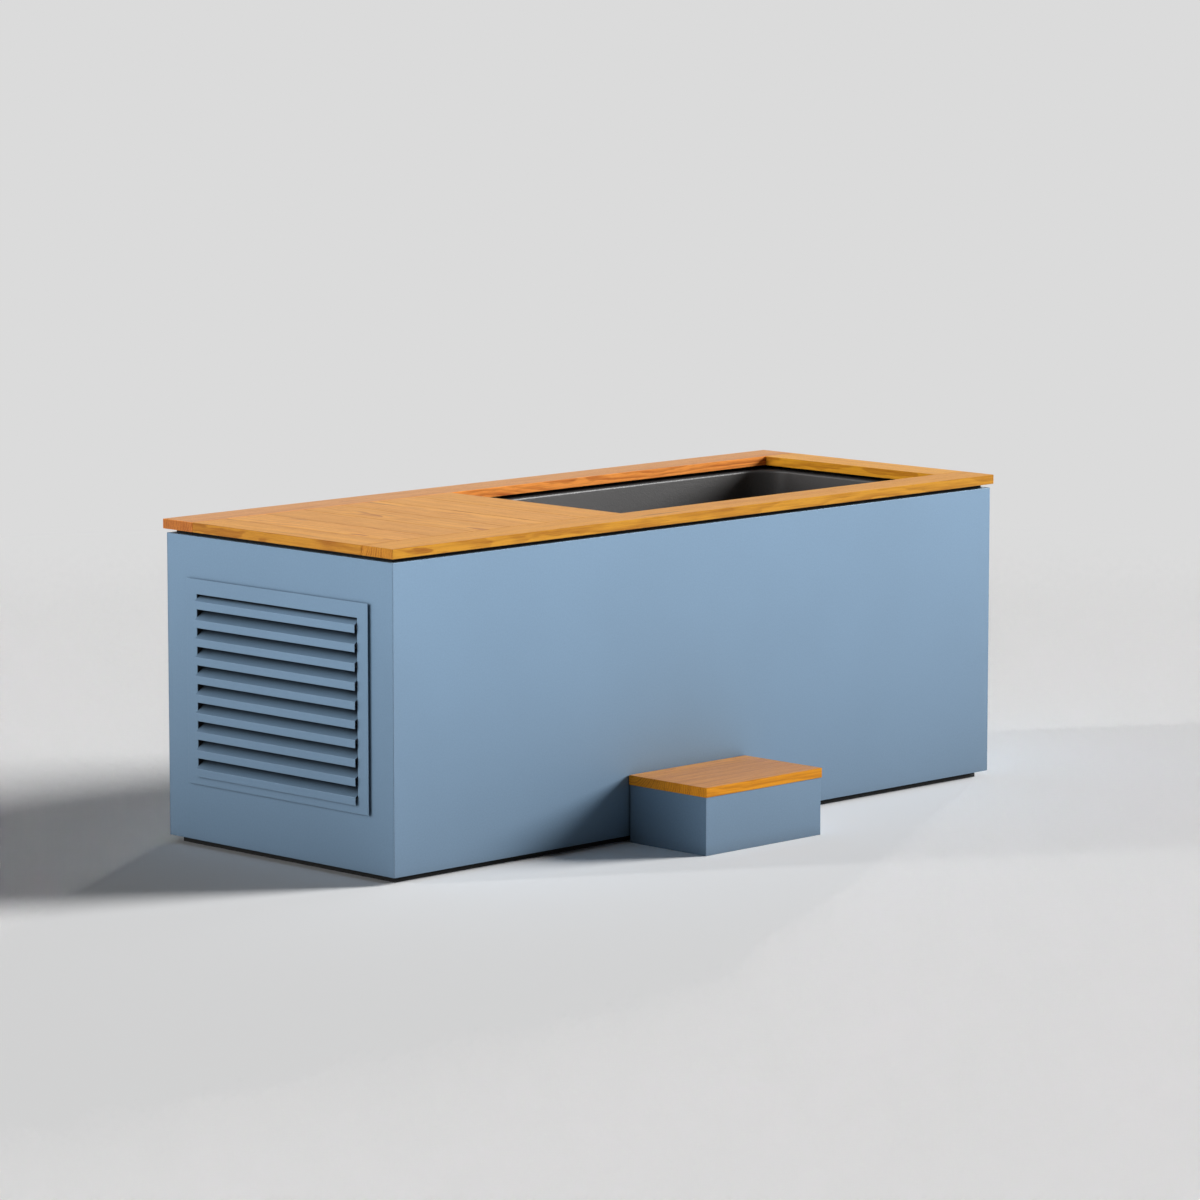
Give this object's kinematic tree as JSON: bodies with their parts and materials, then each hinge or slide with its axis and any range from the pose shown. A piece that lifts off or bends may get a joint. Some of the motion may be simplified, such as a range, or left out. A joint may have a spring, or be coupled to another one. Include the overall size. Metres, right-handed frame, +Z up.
{
  "type": "cold plunge tub",
  "caption": "Free-standing cold plunge tub in a painted sheet cabinet with a timber top, a louvred end with a built-in chiller, and a loose timber-topped step.",
  "frame": {"origin": "on the floor under the middle of the cabinet's footprint, on the underside of the plinth's centre bearer", "axes": "+X along the cabinet from the louvred end to the bathing end, +Y from the step's side to the back, +Z up"},
  "size_m": [2.2073, 1.1195, 0.822],
  "materials": {
    "cabinet_paint": "satin powder coat",
    "black_trim": "matte",
    "duct_black": "matte",
    "chassis_steel": "satin",
    "deck_timber": "oiled",
    "batten_timber": "sawn",
    "tub_grey": "fine texture",
    "foam": "matte",
    "fitting_grey": "satin",
    "pipe_white": "gloss",
    "lever_red": "gloss",
    "zinc_sheet": "zinc",
    "compressor_black": "satin",
    "coil_fins": "satin",
    "shroud_grey": "matte",
    "copper": "drawn",
    "exchanger_shell": "satin",
    "filter_lid_blue": "satin",
    "filter_paper": "matte",
    "control_grey": "satin",
    "key_black": "matte",
    "gland_black": "satin"
  },
  "bodies": {
    "cabinet": {"plinth": "black_trim", "base_frame": "chassis_steel", "posts": "chassis_steel", "top_frame": "chassis_steel", "spacer_strips": "black_trim", "front_panel": "cabinet_paint", "back_panel": "cabinet_paint", "left_panel": "cabinet_paint", "right_panel": "cabinet_paint", "louvre_frame": "cabinet_paint", "louvre_duct": "duct_black", "louvre_blade_1": "cabinet_paint", "louvre_blade_2": "cabinet_paint", "louvre_blade_3": "cabinet_paint", "louvre_blade_4": "cabinet_paint", "louvre_blade_5": "cabinet_paint", "louvre_blade_6": "cabinet_paint", "louvre_blade_7": "cabinet_paint", "louvre_blade_8": "cabinet_paint", "louvre_blade_9": "cabinet_paint", "louvre_blade_10": "cabinet_paint", "front_rail": "deck_timber", "back_rail": "deck_timber", "left_rail": "deck_timber", "right_rail": "deck_timber", "divider_board": "deck_timber", "hatch_ledges": "batten_timber", "tub_shell": "tub_grey", "tub_foam": "foam", "return_nozzle": "fitting_grey", "suction_grille": "fitting_grey", "drain_line": "pipe_white", "machine_tray": "zinc_sheet", "bulkhead": "zinc_sheet", "compressor": "compressor_black", "condenser": "coil_fins", "fan_shroud": "shroud_grey", "heat_exchanger": "exchanger_shell", "refrigerant_lines": "copper", "pump_housing": "fitting_grey", "water_pipes": "pipe_white", "filter_bowl": "fitting_grey", "filter_cartridge": "filter_paper", "control_box": "control_grey", "cable_gland": "gland_black"},
    "hatch": {"hatch_board_1": "deck_timber", "hatch_board_2": "deck_timber", "hatch_board_3": "deck_timber", "hatch_board_4": "deck_timber", "hatch_board_5": "deck_timber", "hatch_battens": "batten_timber"},
    "step": {"step_box": "cabinet_paint", "step_top": "deck_timber"},
    "fan": {"fan_rotor": "shroud_grey"},
    "impeller": {"pump_impeller": "fitting_grey"},
    "filter_cap": {"filter_lid": "filter_lid_blue"},
    "drain_handle": {"drain_lever": "lever_red"},
    "key_1": {"control_key_1": "key_black"},
    "key_2": {"control_key_2": "key_black"}
  },
  "joints": [
    {"name": "hatch_lift", "type": "slide", "parent": "cabinet", "child": "hatch", "axis": [0, 0, 1], "range_m": [0, 0.25]},
    {"name": "step_slide", "type": "slide", "parent": "cabinet", "child": "step", "axis": [0, -1, 0], "range_m": [0, 0.3]},
    {"name": "fan_spin", "type": "hinge", "parent": "cabinet", "child": "fan", "pos_m": [-0.98, 0, 0.421], "axis": [1, 0, 0], "continuous": true},
    {"name": "impeller_spin", "type": "hinge", "parent": "cabinet", "child": "impeller", "pos_m": [-0.45, -0.15, 0.1516], "axis": [1, 0, 0], "continuous": true},
    {"name": "filter_cap_turn", "type": "hinge", "parent": "cabinet", "child": "filter_cap", "pos_m": [-0.8199, -0.15, 0.43], "axis": [0, 0, 1], "range_deg": [0, 90]},
    {"name": "drain_handle_turn", "type": "hinge", "parent": "cabinet", "child": "drain_handle", "pos_m": [-0.4193, 0.25, 0.141], "axis": [0, 0, 1], "range_deg": [0, 90]},
    {"name": "key_1_press", "type": "slide", "parent": "cabinet", "child": "key_1", "axis": [0, 0, -1], "range_m": [0, 0.0015], "stiffness_N_per_m": 400},
    {"name": "key_2_press", "type": "slide", "parent": "cabinet", "child": "key_2", "axis": [0, 0, -1], "range_m": [0, 0.0015], "stiffness_N_per_m": 400}
  ]
}
